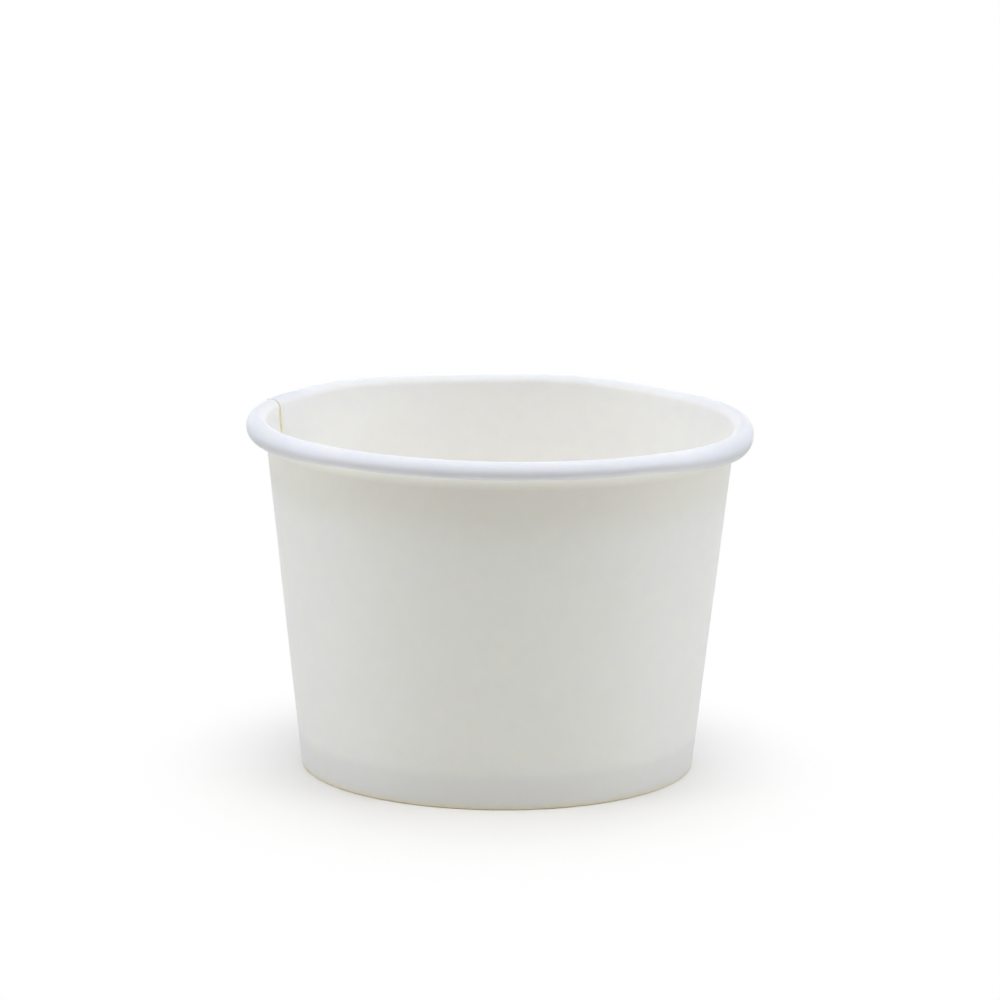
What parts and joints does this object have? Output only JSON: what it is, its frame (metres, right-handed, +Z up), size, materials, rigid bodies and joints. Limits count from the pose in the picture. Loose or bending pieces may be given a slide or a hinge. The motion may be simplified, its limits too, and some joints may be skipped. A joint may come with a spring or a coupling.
{
  "type": "paper sauce cup",
  "caption": "Small round tapered board cup for sauces and dips, with an outward rolled rim, a lapped side seam, a folded-in foot and a recessed base disc.",
  "frame": {"origin": "centre of the foot, on the surface that the cup stands on", "axes": "+Z up along the cup's axis; the picture looks along +Y with +X to its right; the side seam's inner edge is at 162 degrees from +X towards +Y"},
  "size_m": [0.074, 0.074, 0.0518],
  "materials": {
    "wall_board": "white coated paperboard, semi-gloss inside and over the rim, matt outside",
    "base_board": "white coated paperboard, semi-gloss on top, matt underneath"
  },
  "bodies": {
    "root": {"side_wall": "wall_board", "base_disc": "base_board"}
  },
  "joints": []
}
